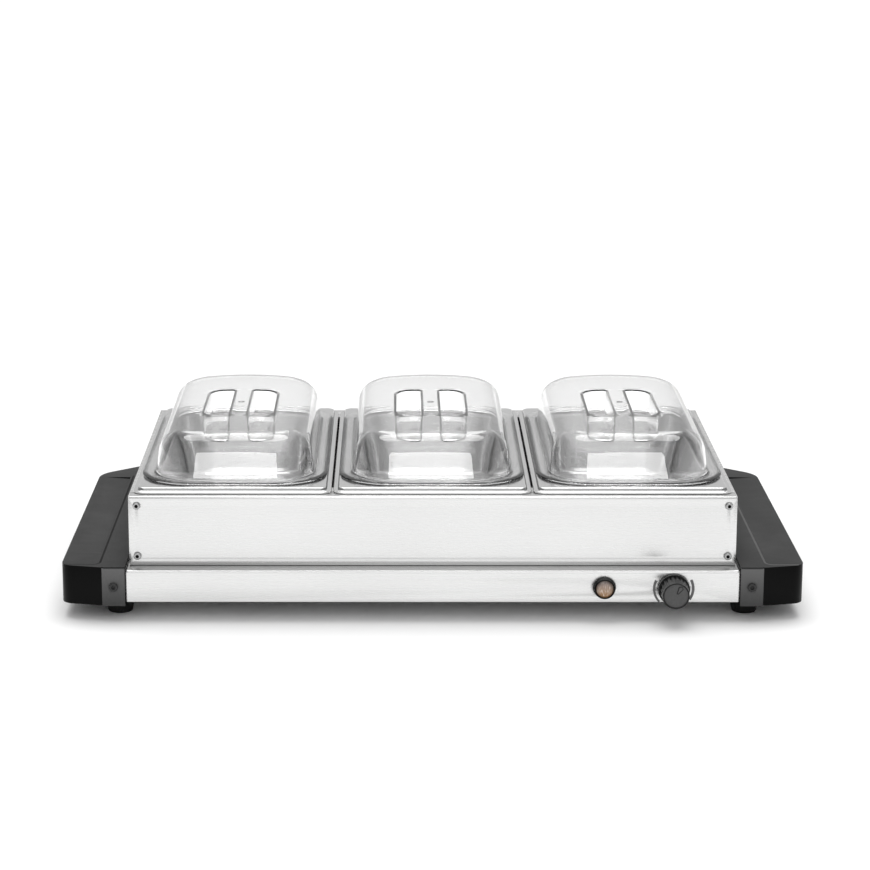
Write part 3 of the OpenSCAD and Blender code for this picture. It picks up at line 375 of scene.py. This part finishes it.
def shade(bm, angle):
    for face in bm.faces:
        face.smooth = True
    for edge in bm.edges:
        if len(edge.link_faces) == 2 and edge.calc_face_angle(0.0) > math.radians(angle):
            edge.smooth = False


def makeObject(name, bm, material):
    mesh = bpy.data.meshes.new(name)
    bm.to_mesh(mesh)
    bm.free()
    mesh.materials.append(material)
    made = bpy.data.objects.new(name, mesh)
    bpy.context.scene.collection.objects.link(made)
    return made


# The piece moves with its node's body and takes its place
def claim(piece, node):
    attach(piece, bodyOf[node])
    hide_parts(node)
    return piece


def finishPiece(name, bm, node, angle):
    bmesh.ops.remove_doubles(bm, verts=bm.verts, dist=1e-6)
    shade(bm, angle)
    return claim(makeObject(name, bm, paints[slotOf[node]]), node)


dressLooks = {"segments": 2, "sharp": 32.0, "flat": 0.6, "smooth": 40.0}


# A CAD node again with its sharp edges rounded
def dress(node, width):
    s = dressLooks
    bm = bmesh.new()
    bm.from_mesh(nodes[node].data)
    bmesh.ops.remove_doubles(bm, verts=bm.verts, dist=2e-6)
    bmesh.ops.dissolve_limit(bm, angle_limit=math.radians(s["flat"]), verts=bm.verts, edges=bm.edges)
    limit = math.radians(s["sharp"])
    sharp = [e for e in bm.edges if len(e.link_faces) == 2 and e.calc_face_angle(0.0) > limit]
    bmesh.ops.bevel(bm, geom=sharp, offset=width, offset_type="OFFSET", segments=s["segments"], profile=0.5,
                    affect="EDGES", clamp_overlap=True)
    bmesh.ops.triangulate(bm, faces=[f for f in bm.faces if len(f.verts) > 4])
    return finishPiece(node + "_dressed", bm, node, s["smooth"])


def arcPoints(cx, cy, r, a0, a1, steps):
    return [(cx + r * math.cos(math.radians(a0 + (a1 - a0) * i / steps)),
             cy + r * math.sin(math.radians(a0 + (a1 - a0) * i / steps))) for i in range(steps + 1)]


# A rounded rectangle whose short sides bulge outwards
def ring(hx, hy, r, z, bulge=0.0, corner=14, side=8):
    points = []
    centres = ((1, -1, -90.0), (1, 1, 0.0), (-1, 1, 90.0), (-1, -1, 180.0))
    arcs = [arcPoints(sx * (hx - r), sy * (hy - r), r, start, start + 90.0, corner)
            for sx, sy, start in centres]
    for i, arc in enumerate(arcs):
        points += arc
        last, following = arc[-1], arcs[(i + 1) % 4][0]
        points += [[a + (b - a) * k / side for a, b in zip(last, following)] for k in range(1, side)]
    return [Vector((x, y + math.copysign(bulge, y) * (1.0 - (x / hx) ** 2), z)) for x, y in points]


def loft(bm, rings):
    rows = [[bm.verts.new(p) for p in points] for points in rings]
    for low, high in zip(rows, rows[1:]):
        for i in range(len(low)):
            j = (i + 1) % len(low)
            bm.faces.new((low[i], low[j], high[j], high[i]))
    return rows


# A body of rings about the z axis; shape varies how far a ring reaches
def turned(bm, profile, segments, shape):
    rings = []
    for k, (r, depth) in enumerate(profile):
        points = []
        for i in range(segments):
            a = 2.0 * math.pi * i / segments
            reach = r * shape(k, a)
            points.append(Vector((reach * math.cos(a), reach * math.sin(a), depth)))
        rings.append(points)
    rows = loft(bm, rings)
    bm.faces.new(list(reversed(rows[0])))
    bm.faces.new(rows[-1])
    return rows


# Pans: one closed shell each, floor, wall, flange and stepped lip

panSizes = {"hx": 88.0, "hy": 162.5, "seat": 109.4, "sheet": 0.8, "rise": 4.6, "deep": 65.0,
            "sideIn": 17.0, "endIn": 22.0, "wellR": 40.0, "edge": 3.0, "draft": 9.0, "fillet": 12.0,
            "kinkIn": 4.5, "kinkUp": 23.0}


# Points of the section: inset, height, corner radius, and whether the end walls' own inset counts
def panProfile():
    s = panSizes
    low = s["rise"] - s["deep"]
    out = s["sideIn"] - s["edge"]
    foot = s["sideIn"] + s["draft"]
    drawn = lambda points: [(x, z, s["wellR"] - x + s["sideIn"], 1.0) for x, z in points]
    rim = lambda points: [(x, z, r, 0.0) for x, z, r in points]
    top = drawn([(foot + s["fillet"], low + s["sheet"])])
    top += drawn(arcPoints(foot + s["fillet"], low + s["fillet"], s["fillet"] - s["sheet"], 270.0, 180.0, 6))
    top += drawn([(foot + s["sheet"] - s["kinkIn"], low + s["fillet"] + s["kinkUp"])])
    top += drawn(arcPoints(out, s["rise"] - s["edge"], s["edge"], 0.0, 90.0, 6))
    top += rim([(9.6, 4.6, 24.0), (7.2, 4.6, 12.0), (5.6, 4.55, 6.4), (5.1, 4.35, 6.0), (4.75, 3.95, 5.7),
                (4.35, 2.5, 5.65), (4.0, 2.05, 6.0), (3.5, 1.85, 6.5), (0.8, 1.8, 9.2), (0.25, 1.6, 9.75),
                (0.0, 1.1, 10.0), (0.0, 0.35, 10.0), (0.3, 0.0, 9.7)])
    under = rim([(0.8, 0.0, 9.2), (0.8, 0.9, 9.2), (3.9, 1.1, 6.1), (4.9, 1.7, 5.4), (5.6, 3.75, 5.2)])
    under += drawn([(out, 3.8)])
    under += drawn(arcPoints(out, s["rise"] - s["edge"], s["edge"] - s["sheet"], 90.0, 0.0, 4))
    under += drawn(arcPoints(foot + s["fillet"], low + s["fillet"], s["fillet"], 180.0, 270.0, 6))
    return top + under


def makePan(name, x):
    s = panSizes
    bm = bmesh.new()
    rings = []
    for inset, z, r, share in panProfile():
        deeper = inset + share * (s["endIn"] - s["sideIn"])
        points = ring(*mm(s["hx"] - inset, s["hy"] - deeper, r, s["seat"] + z))
        rings.append([Vector((x * 0.001 + p.x, panMiddleY + p.y, p.z)) for p in points])
    rows = loft(bm, list(reversed(rings)))
    bm.faces.new(list(reversed(rows[0])))
    bm.faces.new(rows[-1])
    bmesh.ops.recalc_face_normals(bm, faces=bm.faces)
    return finishPiece(name + "_drawn", bm, name, 50.0)


for side, x in wells:
    makePan("pan_" + side, x)
print("pans done")


# Lids: a closed shell each with two finger pockets and an arched crown

lidSizes = {"hx": 83.5, "hy": 151.5, "r": 45.0, "seat": 114.2, "high": 42.1, "wall": 1.8, "flange": 12.0,
            "draft": 2.6, "shoulder": 21.0, "web": 9.0, "outer": 32.0, "half": 53.5, "smallR": 3.0,
            "largeR": 14.0, "pocket": 23.0, "arch": 1.5, "archHalf": 0.0483, "bow": 1.5, "bulge": 6.0,
            "crown": 8.0, "bulgeFrom": 3.0, "bulgeOver": 9.0, "crownFrom": 12.2, "crownOver": 8.0,
            "pull": 0.6}
gateMark = ((0.0030, 0.0416), (0.0030, 0.0422), (0.0026, 0.0424), (0.0012, 0.0425), (0.0006, 0.0426))


# The end walls bow outwards, little at the flange, more above it and most at the crown
def lidRing(inset, z):
    s = lidSizes
    share = min(1.0, max(0.0, (inset - s["bulgeFrom"]) / s["bulgeOver"]))
    late = min(1.0, max(0.0, (inset - s["crownFrom"]) / s["crownOver"]))
    smooth = share * share * (3.0 - 2.0 * share)
    bulge = s["bow"] + (s["bulge"] - s["bow"]) * smooth + (s["crown"] - s["bulge"]) * late
    sizes = mm(s["hx"] - inset, s["hy"] - inset - bulge * s["pull"], s["r"] - inset, z, bulge)
    return ring(*sizes, corner=16, side=12)


def lidProfile():
    s = lidSizes
    centre = s["flange"] + s["draft"] + s["shoulder"]
    level = s["high"] - s["shoulder"]
    inside = arcPoints(centre, level, s["shoulder"] - s["wall"], 90.0, 172.0, 12)
    inside += [(14.6, 10.0), (14.0, 5.0), (13.8, 1.0), (13.4, 0.25), (12.8, 0.0)]
    outside = [(0.5, 0.0), (0.1, 0.12), (0.0, 0.4), (0.0, 1.4), (0.12, 1.68), (0.5, 1.8), (6.0, 1.8),
               (9.6, 1.85), (11.0, 2.2), (11.8, 3.0), (12.15, 4.4), (12.9, 10.0)]
    outside += arcPoints(centre, level, s["shoulder"], 172.0, 90.0, 14)
    return inside + outside


def pocketRing(side, grow, z):
    s = lidSizes
    inner, outer, half = s["web"] - grow, s["outer"] + grow, s["half"] + grow
    small, large = max(0.6, s["smallR"] + grow), max(2.0, s["largeR"] + grow)
    loop = []
    corners = ((outer - large, -half + large, large, -90.0), (outer - large, half - large, large, 0.0),
               (inner + small, half - small, small, 90.0), (inner + small, -half + small, small, 180.0))
    for cx, cy, r, start in corners:
        loop += arcPoints(cx, cy, r, start, start + 90.0, 8)
    if side < 0:
        loop = [(-x, y) for x, y in reversed(loop)]
    return [Vector(mm(x, y, z)) for x, y in loop]


def inLoop(x, y, loop):
    inside = False
    for a, b in zip(loop, loop[1:] + loop[:1]):
        if (a.y > y) != (b.y > y) and x < (b.x - a.x) * (y - a.y) / (b.y - a.y) + a.x:
            inside = not inside
    return inside


# Closes the crown between its outline and the two pockets, with a grid of points inside so that it can arch
def cap(bm, outer, holes, z, up):
    loops = [outer] + holes
    points, edges = [], []
    for loop in loops:
        start = len(points)
        points += [Vector((v.co.x, v.co.y)) for v in loop]
        edges += [(start + i, start + (i + 1) % len(loop)) for i in range(len(loop))]
    known = [v for loop in loops for v in loop]
    outline = [Vector((v.co.x, v.co.y)) for v in outer]
    gaps = [[Vector((v.co.x, v.co.y)) for v in loop] for loop in holes]
    between = lambda p: inLoop(p.x, p.y, outline) and not any(inLoop(p.x, p.y, gap) for gap in gaps)
    step = 0.006
    for i in range(-9, 10):
        for j in range(-22, 23):
            p = Vector((i * step, j * step))
            near = min((p - q).length for q in points[:len(known)])
            if near > step * 0.45 and between(p):
                points.append(p)
    made = delaunay_2d_cdt(points, edges, [], 0, 1e-7)
    verts = []
    for p, origins in zip(made[0], made[3]):
        origin = min(origins) if origins else -1
        verts.append(known[origin] if 0 <= origin < len(known) else bm.verts.new((p.x, p.y, z)))
    for tri in made[2]:
        centre = sum((made[0][i] for i in tri), Vector((0.0, 0.0))) / len(tri)
        if between(centre):
            corners = [verts[i] for i in tri]
            bm.faces.new(corners if up else list(reversed(corners)))


def makeLid(name, x):
    s = lidSizes
    bm = bmesh.new()
    rows = loft(bm, [lidRing(inset, z) for inset, z in lidProfile()])
    outerHoles, innerHoles = [], []
    top = s["high"]
    floor = top - s["pocket"]
    outside = [(0.5, top), (0.22, top - 0.06), (0.05, top - 0.2), (0.0, top - 0.5), (-0.9, floor + 3.0),
               (-1.4, floor + 1.2), (-2.4, floor + 0.25), (-3.6, floor)]
    inside = [(2.4, top - s["wall"]), (1.8, top - 1.92), (1.4, top - 2.4), (0.5, floor + 2.4),
              (0.0, floor + 0.4), (-0.9, floor - 0.9), (-2.4, floor - 1.4)]
    for side in (-1, 1):
        outRows = loft(bm, [pocketRing(side, grow, z) for grow, z in outside])
        inRows = loft(bm, [pocketRing(side, grow, z) for grow, z in inside])
        bm.faces.new(outRows[-1])
        bm.faces.new(inRows[-1])
        outerHoles.append(outRows[0])
        innerHoles.append(inRows[0])
    cap(bm, rows[-1], outerHoles, top * 0.001, True)
    cap(bm, rows[0], innerHoles, (top - s["wall"]) * 0.001, False)
    bmesh.ops.recalc_face_normals(bm, faces=bm.faces)
    turns = [a * math.pi / 10 for a in range(20)]
    mark = loft(bm, [[Vector((r * math.cos(a), r * math.sin(a), z)) for a in turns] for r, z in gateMark])
    bm.faces.new(list(reversed(mark[0])))
    bm.faces.new(mark[-1])
    high = top * 0.001
    for v in bm.verts:
        v.co.z -= s["arch"] * 0.001 * (max(0.0, v.co.z) / high) ** 2 * (v.co.x / s["archHalf"]) ** 2
        v.co.z += s["seat"] * 0.001
        v.co.x += x * 0.001
        v.co.y += panMiddleY
    return finishPiece(name + "_moulded", bm, name, 50.0)


lidPieces = [makeLid("lid_" + side, x) for side, x in wells]
print("lids done")


# Sheet metal, mouldings and rubber with rounded edges; the values are the edges' widths

edgeWidths = {
    "base_shell": 0.00025,
    "frame_front_panel": 0.0003,
    "frame_rear_panel": 0.0003,
    "frame_side_left": 0.0003,
    "frame_side_right": 0.0003,
    "handle_left": 0.0012,
    "handle_right": 0.0012,
    "foot_front_left": 0.0016,
    "foot_front_right": 0.0016,
    "foot_rear_left": 0.0016,
    "foot_rear_right": 0.0016,
    "lamp_bezel": 0.0002,
    "cord_gland": 0.0005,
    "knob": 0.00035,
    "knob_cap": 0.0002,
}
for node, width in edgeWidths.items():
    dress(node, width)
print("dressed")


# Screws: heads with a hexagon socket, repeated by geometry nodes

screwLooks = {"segments": 36, "socket": 0.46, "deep": 0.0013, "headH": 0.002, "shankR": 0.002,
              "smooth": 40.0}
frameScrews = {"seed": "seedFrame", "headR": 0.00325, "length": 0.008, "x": 0.2614, "front": -0.160,
               "rear": 0.181, "heights": (0.0464 + 0.0084, 0.1092 - 0.0084)}
handleScrews = {"seed": "seedHandle", "headR": 0.004, "length": 0.014, "x": 0.2815, "front": -0.1765,
                "rear": 0.1905, "heights": ((0.0136 + 0.0487) / 2,)}
footScrews = {"seed": "seedFoot", "headR": 0.0045, "length": 0.0122, "x": 0.279, "front": -0.144,
              "rear": 0.158, "height": 0.0087}


def screwSeed(node, screw):
    s = screwLooks
    bm = bmesh.new()
    headR, headH, shankR, length = screw["headR"], s["headH"], s["shankR"], screw["length"]
    inner = headR * s["socket"]
    hexagon = lambda k, a: 1.0 / math.cos((a % (math.pi / 3.0)) - math.pi / 6.0) * 0.93 if k < 2 else 1.0
    profile = [(inner, -headH + s["deep"]), (inner, -headH + 0.0001), (inner * 1.12, -headH),
               (headR * 0.80, -headH), (headR * 0.93, -headH * 0.86), (headR, -headH * 0.6),
               (headR, -headH * 0.02), (shankR, 0.0), (shankR, length * 0.93), (shankR * 0.8, length)]
    turned(bm, profile, s["segments"], hexagon)
    bmesh.ops.recalc_face_normals(bm, faces=bm.faces)
    shade(bm, s["smooth"])
    seed = makeObject(screw["seed"], bm, paints[slotOf[node]])
    # Painted shade: 1 in the socket and at the foot, which the material paints dark
    part = seed.data.attributes.new("part", "FLOAT", "POINT")
    for i, v in enumerate(seed.data.vertices):
        reach = math.hypot(v.co.x, v.co.y)
        part.data[i].value = 1.0 if reach < inner * 1.1 or v.co.z > -headH * 0.1 else 0.0
    return seed


# Puts the seed at each place; a place is a point and the direction of the shank
def repeat(node, seed, places):
    mesh = bpy.data.meshes.new(node + "_places")
    mesh.from_pydata([p for p, _ in places], [], [])
    turns = mesh.attributes.new("turn", "FLOAT_VECTOR", "POINT")
    for i, (_, way) in enumerate(places):
        turns.data[i].vector = Vector(way).to_track_quat("Z", "Y").to_euler()
    holder = bpy.data.objects.new(node + "_places", mesh)
    bpy.context.scene.collection.objects.link(holder)
    group = bpy.data.node_groups.new(node + "_repeat", "GeometryNodeTree")
    group.interface.new_socket("Geometry", in_out="INPUT", socket_type="NodeSocketGeometry")
    chosen = group.interface.new_socket("Seed", in_out="INPUT", socket_type="NodeSocketObject")
    paint = group.interface.new_socket("Paint", in_out="INPUT", socket_type="NodeSocketMaterial")
    group.interface.new_socket("Geometry", in_out="OUTPUT", socket_type="NodeSocketGeometry")
    start = group.nodes.new("NodeGroupInput")
    end = group.nodes.new("NodeGroupOutput")
    info = group.nodes.new("GeometryNodeObjectInfo")
    named = group.nodes.new("GeometryNodeInputNamedAttribute")
    named.data_type = "FLOAT_VECTOR"
    named.inputs["Name"].default_value = "turn"
    spin = group.nodes.new("FunctionNodeEulerToRotation")
    place = group.nodes.new("GeometryNodeInstanceOnPoints")
    real = group.nodes.new("GeometryNodeRealizeInstances")
    coat = group.nodes.new("GeometryNodeSetMaterial")
    link = group.links.new
    link(start.outputs["Geometry"], place.inputs["Points"])
    link(start.outputs["Seed"], info.inputs["Object"])
    link(info.outputs["Geometry"], place.inputs["Instance"])
    link(named.outputs["Attribute"], spin.inputs[0])
    link(spin.outputs[0], place.inputs["Rotation"])
    link(place.outputs[0], real.inputs[0])
    link(real.outputs[0], coat.inputs["Geometry"])
    link(start.outputs["Paint"], coat.inputs["Material"])
    link(coat.outputs[0], end.inputs[0])
    modifier = holder.modifiers.new("repeat", "NODES")
    modifier.node_group = group
    modifier[chosen.identifier] = seed
    modifier[paint.identifier] = paints[slotOf[node]]
    bpy.context.view_layer.update()
    graph = bpy.context.evaluated_depsgraph_get()
    made = bpy.data.meshes.new_from_object(holder.evaluated_get(graph))
    holder.modifiers.clear()
    bpy.data.objects.remove(holder)
    bpy.data.objects.remove(seed)
    made.name = node + "_set"
    piece = bpy.data.objects.new(node + "_set", made)
    bpy.context.scene.collection.objects.link(piece)
    return claim(piece, node)


# Screws that go in from the front and from the rear, at both ends
def levelPlaces(screw):
    return [((sx * screw["x"], y, z), (0.0, way, 0.0)) for sx in (-1, 1) for z in screw["heights"]
            for y, way in ((screw["front"], 1.0), (screw["rear"], -1.0))]


def upPlaces(screw):
    return [((sx * screw["x"], y, screw["height"]), (0.0, 0.0, 1.0)) for sx in (-1, 1)
            for y in (screw["front"], screw["rear"])]


repeat("frame_screws", screwSeed("frame_screws", frameScrews), levelPlaces(frameScrews))
repeat("handle_screws", screwSeed("handle_screws", handleScrews), levelPlaces(handleScrews))
repeat("foot_screws", screwSeed("foot_screws", footScrews), upPlaces(footScrews))
print("screws done")


# Printed dial arcs on the panel round the knob

dialLooks = {"x": 0.2125, "z": 0.0297, "r": 0.0172, "thin": 0.0018, "thick": 0.0024, "back": -0.176,
             "face": -0.17612, "left": (-64.0, -134.0), "right": (62.0, 125.0), "steps": 28}


def dialArc(bm, start, stop, width0, width1):
    s = dialLooks
    rows = []
    for i in range(s["steps"] + 1):
        share = i / s["steps"]
        a = math.radians(start + (stop - start) * share)
        w = (width0 + (width1 - width0) * share) / 2
        corners = ((-w, s["back"]), (-w, s["face"]), (w, s["face"]), (w, s["back"]))
        reach = [(s["r"] + d, y) for d, y in corners]
        rows.append([bm.verts.new((s["x"] + r * math.sin(a), y, s["z"] + r * math.cos(a))) for r, y in reach])
    for a, b in zip(rows, rows[1:]):
        for i in range(4):
            j = (i + 1) % 4
            bm.faces.new((a[i], a[j], b[j], b[i]))
    bm.faces.new(rows[0])
    bm.faces.new(list(reversed(rows[-1])))


def makeDial():
    s = dialLooks
    bm = bmesh.new()
    dialArc(bm, *s["left"], s["thick"], s["thin"])
    dialArc(bm, *s["right"], s["thick"], s["thick"])
    bmesh.ops.recalc_face_normals(bm, faces=bm.faces)
    piece = makeObject("dial_arcs", bm, plain("dial_ink", 0.11, 0.15, 0.5, 900.0))
    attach(piece, "base")
    return piece


makeDial()
print("dial done")


# Stage: pale floor, a soft sun, a front box, a window for each lid, a soft world and the camera

stageLooks = {"floor": 0.97, "floorHalf": 30.0, "floorZ": -0.0002, "world": 0.58, "sky": 1.9,
              "skyAngle": 50.0, "skyTilt": -20.0}
boxLooks = {"power": 12.0, "place": (0.0, -2.6, 1.72), "target": (0.0, 0.0, 0.15), "size": (2.1, 2.0)}
windowLooks = {"power": 52.0, "across": (-0.22, -0.03, 0.20), "y": -2.6, "z": 0.50, "targetZ": 0.14,
               "size": (1.35, 0.95)}
cameraLooks = {"lens": 109.56, "sensor": 36.0, "shift": 0.0494, "far": 200.0,
               "place": (-0.0323, -2.4145, 0.7077), "down": 13.531, "turn": 0.091}

half, level = stageLooks["floorHalf"], stageLooks["floorZ"]
floorMesh = bpy.data.meshes.new("floor")
floorCorners = [(sx * half, sy * half, level) for sx, sy in ((-1, -1), (1, -1), (1, 1), (-1, 1))]
floorMesh.from_pydata(floorCorners, [], [(0, 1, 2, 3)])
floor = bpy.data.objects.new("floor", floorMesh)
bpy.context.scene.collection.objects.link(floor)
floorPaint = Paint("floor_paper")
grainWire = floorPaint.noise((30.0, 30.0, 30.0), 2.0)
paperColor = floorPaint.blend(grainWire, tone(stageLooks["floor"] - 0.01), tone(stageLooks["floor"]))
floorPaint.set(color=paperColor, rough=0.9, level=0.1)
floorMesh.materials.append(floorPaint.material)

world = bpy.data.worlds.new("studio")
world.use_nodes = True
bpy.context.scene.world = world
around = world.node_tree.nodes["Background"]
around.inputs["Color"].default_value = (1.0, 1.0, 1.0, 1.0)
around.inputs["Strength"].default_value = stageLooks["world"]

skyData = bpy.data.lights.new("ceiling", "SUN")
skyData.energy = stageLooks["sky"]
skyData.angle = math.radians(stageLooks["skyAngle"])
sky = bpy.data.objects.new("ceiling", skyData)
sky.rotation_euler = (math.radians(stageLooks["skyTilt"]), 0.0, 0.0)
bpy.context.scene.collection.objects.link(sky)


# A soft box; when lit is given it lights only that piece and stays out of what is seen through it
def softBox(name, place, target, size, power, lit=None):
    data = bpy.data.lights.new(name, "AREA")
    data.shape = "RECTANGLE"
    data.size, data.size_y = size
    data.energy = power
    lamp = bpy.data.objects.new(name, data)
    lamp.location = place
    lamp.rotation_euler = (Vector(target) - Vector(place)).to_track_quat("-Z", "Y").to_euler()
    lamp.visible_camera = False
    bpy.context.scene.collection.objects.link(lamp)
    if lit:
        chosen = bpy.data.collections.new(name + "_lit")
        chosen.objects.link(lit)
        lamp.light_linking.receiver_collection = chosen
        lamp.visible_transmission = False


softBox("frontBox", boxLooks["place"], boxLooks["target"], boxLooks["size"], boxLooks["power"])
for lid, x in zip(lidPieces, windowLooks["across"]):
    w = windowLooks
    softBox(lid.name + "_window", (x, w["y"], w["z"]), (x, 0.0, w["targetZ"]), w["size"], w["power"], lid)

cameraData = bpy.data.cameras.new("camera")
cameraData.lens = cameraLooks["lens"]
cameraData.sensor_width = cameraLooks["sensor"]
cameraData.shift_x = cameraLooks["shift"]
cameraData.clip_end = cameraLooks["far"]
camera = bpy.data.objects.new("camera", cameraData)
camera.location = cameraLooks["place"]
camera.rotation_euler = (math.radians(90.0 - cameraLooks["down"]), 0.0, math.radians(cameraLooks["turn"]))
bpy.context.scene.collection.objects.link(camera)
bpy.context.scene.camera = camera
bpy.context.scene.view_settings.view_transform = "Standard"
print("stage done")
